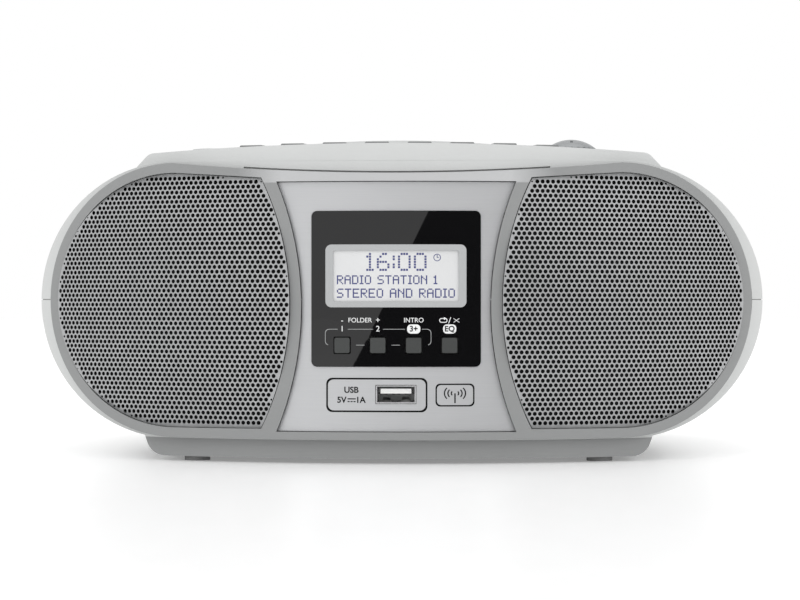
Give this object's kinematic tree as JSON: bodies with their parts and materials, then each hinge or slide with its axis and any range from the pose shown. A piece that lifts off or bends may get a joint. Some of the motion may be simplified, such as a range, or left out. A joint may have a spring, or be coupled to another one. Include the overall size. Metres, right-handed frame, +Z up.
{
  "type": "portable compact disc and digital radio",
  "caption": "Wide pill-shaped portable radio with disc lid, perforated speaker grilles, small display, key row, folding handle and telescopic antenna.",
  "frame": {"origin": "middle of the outline on the table plane under the feet", "axes": "+X to the right seen from the front, front faces -Y, +Z up"},
  "size_m": [0.2738, 0.215, 0.1156],
  "materials": {
    "shell_light": "satin light grey moulding",
    "shell_grey": "satin light grey moulding, lower half",
    "bezel_grey": "satin mid grey",
    "grille_metal": "perforated sheet",
    "panel_brushed": "brushed look panel",
    "gloss_black": "high gloss window panel",
    "rim_pale": "pale rim",
    "lcd_pale": "pale backlit display",
    "foot_rubber": "matt rubber",
    "screw_steel": "zinc plated",
    "inner_black": "plain black moulding",
    "frame_black": "black pressed steel",
    "magnet_grey": "ferrite and steel, stands in as one material",
    "cone_paper": "coated paper cone",
    "key_grey": "satin key caps",
    "knob_grey": "turned look knob",
    "sheet_steel": "plain sheet",
    "board_green": "circuit board laminate",
    "switch_black": "switch body",
    "lid_light": "satin light grey lid",
    "window_smoke": "smoked window",
    "well_dark": "dark well",
    "hub_black": "hub",
    "rail_steel": "ground rod",
    "brass_screw": "turned brass",
    "handle_grey": "satin mid grey handle",
    "antenna_chrome": "drawn chromed tube",
    "contact_steel": "nickelled spring steel",
    "front_key_dark": "dark key caps",
    "usb_steel": "pressed shell",
    "usb_pale": "pale insulator",
    "parts_mixed": null,
    "core_steel": "varnished laminations and winding",
    "wire_red": "insulated lead"
  },
  "bodies": {
    "cabinet": {"ac_inlet": "inner_black", "battery_bay": "inner_black", "battery_contacts": "contact_steel", "board_parts": "parts_mixed", "cd_chassis": "sheet_steel", "cd_well": "well_dark", "centre_panel": "panel_brushed", "display_panel": "gloss_black", "front_bezel": "bezel_grey", "front_board": "board_green", "headphone_jack": "inner_black", "housing_screws": "screw_steel", "key_board": "board_green", "lcd_frame": "rim_pale", "lcd_module": "lcd_pale", "left_grille": "grille_metal", "lower_housing": "shell_grey", "main_board": "board_green", "push_switches": "switch_black", "right_grille": "grille_metal", "rubber_feet": "foot_rubber", "sled_motor": "sheet_steel", "sled_rails": "rail_steel", "speaker_baffles": "inner_black", "speaker_frames": "frame_black", "speaker_magnets": "magnet_grey", "speaker_wires": "wire_red", "spindle_motor": "sheet_steel", "transformer": "core_steel", "upper_housing": "shell_light", "usb_receptacle": "usb_steel", "usb_tongue": "usb_pale", "volume_encoder": "sheet_steel"},
    "lid": {"cd_lid": "lid_light", "lid_window": "window_smoke", "disc_clamp": "inner_black"},
    "knob": {"volume_knob": "knob_grey"},
    "standby": {"standby_button": "key_grey"},
    "handle": {"carry_handle": "handle_grey"},
    "antenna": {"antenna_base": "antenna_chrome"},
    "antenna_second": {"antenna_middle": "antenna_chrome"},
    "antenna_third": {"antenna_tip": "antenna_chrome"},
    "battery_door": {"battery_cover": "shell_grey"},
    "cone_left": {"left_cone": "cone_paper"},
    "cone_right": {"right_cone": "cone_paper"},
    "hub": {"spindle_hub": "hub_black"},
    "sled": {"laser_sled": "inner_black"},
    "screw": {"lead_screw": "brass_screw"},
    "key_1": {"top_key_1": "key_grey"},
    "key_2": {"top_key_2": "key_grey"},
    "key_3": {"top_key_3": "key_grey"},
    "key_4": {"top_key_4": "key_grey"},
    "key_5": {"top_key_5": "key_grey"},
    "key_6": {"top_key_6": "key_grey"},
    "key_7": {"top_key_7": "key_grey"},
    "key_8": {"top_key_8": "key_grey"},
    "panel_key_1": {"front_key_1": "front_key_dark"},
    "panel_key_2": {"front_key_2": "front_key_dark"},
    "panel_key_3": {"front_key_3": "front_key_dark"},
    "panel_key_4": {"front_key_4": "front_key_dark"}
  },
  "joints": [
    {"name": "lid_hinge", "type": "hinge", "parent": "cabinet", "child": "lid", "pos_m": [0, 0.084, 0.1116], "axis": [-1, 0, 0], "range_deg": [0, 65]},
    {"name": "volume_turn", "type": "hinge", "parent": "cabinet", "child": "knob", "pos_m": [0.0625, -0.066, 0.111], "axis": [0, 0, 1], "continuous": true},
    {"name": "standby_press", "type": "slide", "parent": "cabinet", "child": "standby", "axis": [0, 0, -1], "range_m": [0, 0.0008], "stiffness_N_per_m": 1200, "springref_m": -0.0006},
    {"name": "top_key_1_press", "type": "slide", "parent": "cabinet", "child": "key_1", "axis": [0, 0, -1], "range_m": [0, 0.001], "stiffness_N_per_m": 1200, "springref_m": -0.0006},
    {"name": "top_key_2_press", "type": "slide", "parent": "cabinet", "child": "key_2", "axis": [0, 0, -1], "range_m": [0, 0.001], "stiffness_N_per_m": 1200, "springref_m": -0.0006},
    {"name": "top_key_3_press", "type": "slide", "parent": "cabinet", "child": "key_3", "axis": [0, 0, -1], "range_m": [0, 0.001], "stiffness_N_per_m": 1200, "springref_m": -0.0006},
    {"name": "top_key_4_press", "type": "slide", "parent": "cabinet", "child": "key_4", "axis": [0, 0, -1], "range_m": [0, 0.001], "stiffness_N_per_m": 1200, "springref_m": -0.0006},
    {"name": "top_key_5_press", "type": "slide", "parent": "cabinet", "child": "key_5", "axis": [0, 0, -1], "range_m": [0, 0.001], "stiffness_N_per_m": 1200, "springref_m": -0.0006},
    {"name": "top_key_6_press", "type": "slide", "parent": "cabinet", "child": "key_6", "axis": [0, 0, -1], "range_m": [0, 0.001], "stiffness_N_per_m": 1200, "springref_m": -0.0006},
    {"name": "top_key_7_press", "type": "slide", "parent": "cabinet", "child": "key_7", "axis": [0, 0, -1], "range_m": [0, 0.001], "stiffness_N_per_m": 1200, "springref_m": -0.0006},
    {"name": "top_key_8_press", "type": "slide", "parent": "cabinet", "child": "key_8", "axis": [0, 0, -1], "range_m": [0, 0.001], "stiffness_N_per_m": 1200, "springref_m": -0.0006},
    {"name": "front_key_1_press", "type": "slide", "parent": "cabinet", "child": "panel_key_1", "axis": [0, 1, 0], "range_m": [0, 0.0008], "stiffness_N_per_m": 1200, "springref_m": -0.0006},
    {"name": "front_key_2_press", "type": "slide", "parent": "cabinet", "child": "panel_key_2", "axis": [0, 1, 0], "range_m": [0, 0.0008], "stiffness_N_per_m": 1200, "springref_m": -0.0006},
    {"name": "front_key_3_press", "type": "slide", "parent": "cabinet", "child": "panel_key_3", "axis": [0, 1, 0], "range_m": [0, 0.0008], "stiffness_N_per_m": 1200, "springref_m": -0.0006},
    {"name": "front_key_4_press", "type": "slide", "parent": "cabinet", "child": "panel_key_4", "axis": [0, 1, 0], "range_m": [0, 0.0008], "stiffness_N_per_m": 1200, "springref_m": -0.0006},
    {"name": "handle_hinge", "type": "hinge", "parent": "cabinet", "child": "handle", "pos_m": [0, 0.036, 0.1005], "axis": [1, 0, 0], "range_deg": [0, 90]},
    {"name": "antenna_tilt", "type": "hinge", "parent": "cabinet", "child": "antenna", "pos_m": [0.092, 0.105, 0.087], "axis": [0, 1, 0], "range_deg": [0, 95]},
    {"name": "antenna_draw_middle", "type": "slide", "parent": "antenna", "child": "antenna_second", "axis": [-1, 0, 0], "range_m": [0, 0.1]},
    {"name": "antenna_draw_tip", "type": "slide", "parent": "antenna_second", "child": "antenna_third", "axis": [-1, 0, 0], "range_m": [0, 0.095]},
    {"name": "battery_door_off", "type": "slide", "parent": "cabinet", "child": "battery_door", "axis": [0, 1, 0], "range_m": [0, 0.03]},
    {"name": "left_cone_stroke", "type": "slide", "parent": "cabinet", "child": "cone_left", "axis": [-0.4, -0.9165, 0], "range_m": [-0.0015, 0.0015], "stiffness_N_per_m": 1500},
    {"name": "right_cone_stroke", "type": "slide", "parent": "cabinet", "child": "cone_right", "axis": [0.4, -0.9165, 0], "range_m": [-0.0015, 0.0015], "stiffness_N_per_m": 1500},
    {"name": "spindle_spin", "type": "hinge", "parent": "cabinet", "child": "hub", "pos_m": [0, 0.004, 0.102], "axis": [0, 0, 1], "continuous": true},
    {"name": "sled_travel", "type": "slide", "parent": "cabinet", "child": "sled", "axis": [1, 0, 0], "range_m": [0, 0.03]},
    {"name": "lead_screw_turn", "type": "hinge", "parent": "cabinet", "child": "screw", "pos_m": [0.04, -0.018, 0.0915], "axis": [1, 0, 0], "range_deg": [0, 3600]}
  ],
  "couplings": [
    {"joint": "lead_screw_turn", "follows": "sled_travel", "rad_per_m": 2094.4}
  ]
}
